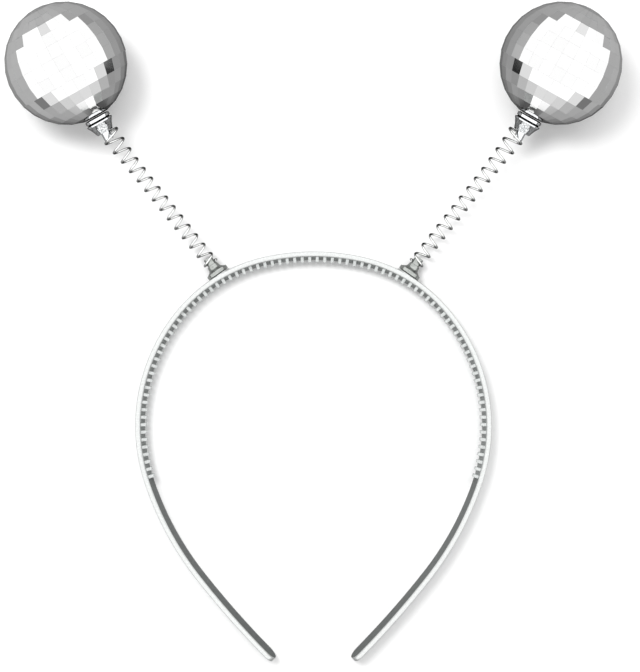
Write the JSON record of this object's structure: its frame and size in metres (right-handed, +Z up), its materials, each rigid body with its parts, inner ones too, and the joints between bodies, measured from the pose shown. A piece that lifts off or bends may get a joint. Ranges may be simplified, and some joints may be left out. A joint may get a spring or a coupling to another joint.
{
  "type": "head bopper",
  "caption": "Comb headband carrying two mirror-tiled balls on coil springs, worn over the head so that the balls sway above it.",
  "frame": {"origin": "centre of the whole object's outline on the surface that it lies on, with the band's lower edge at height zero", "axes": "+X across the object toward the right-hand ball, +Y from the band's tips toward the balls, +Z up"},
  "size_m": [0.2218, 0.2402, 0.0439],
  "materials": {
    "band_plastic": "gloss",
    "foot_plastic": "gloss",
    "spring_wire": "polished",
    "collar_chrome": "polished",
    "mirror_tiles": "polished"
  },
  "bodies": {
    "headband": {"headband": "band_plastic", "foot_left": "foot_plastic", "foot_right": "foot_plastic"},
    "left_spring": {"spring_left": "spring_wire"},
    "left_ball": {"collar_left": "collar_chrome", "ball_left": "mirror_tiles"},
    "right_spring": {"spring_right": "spring_wire"},
    "right_ball": {"collar_right": "collar_chrome", "ball_right": "mirror_tiles"}
  },
  "joints": [
    {"name": "left_sway", "type": "hinge", "parent": "headband", "child": "left_spring", "pos_m": [-0.0499, 0.0424, 0.0086], "axis": [0, 0, 1], "range_deg": [-40, 40], "stiffness_Nm_per_rad": 0.011, "deforming": ["spring_left"]},
    {"name": "left_nod", "type": "hinge", "parent": "left_spring", "child": "left_ball", "pos_m": [-0.0623, 0.0584, 0.0126], "axis": [0.79, 0.6131, 0], "range_deg": [-40, 40], "stiffness_Nm_per_rad": 0.011, "deforming": ["spring_left"]},
    {"name": "right_sway", "type": "hinge", "parent": "headband", "child": "right_spring", "pos_m": [0.0499, 0.0424, 0.0086], "axis": [0, 0, 1], "range_deg": [-40, 40], "stiffness_Nm_per_rad": 0.011, "deforming": ["spring_right"]},
    {"name": "right_nod", "type": "hinge", "parent": "right_spring", "child": "right_ball", "pos_m": [0.0623, 0.0584, 0.0126], "axis": [0.79, -0.6131, 0], "range_deg": [-40, 40], "stiffness_Nm_per_rad": 0.011, "deforming": ["spring_right"]}
  ]
}
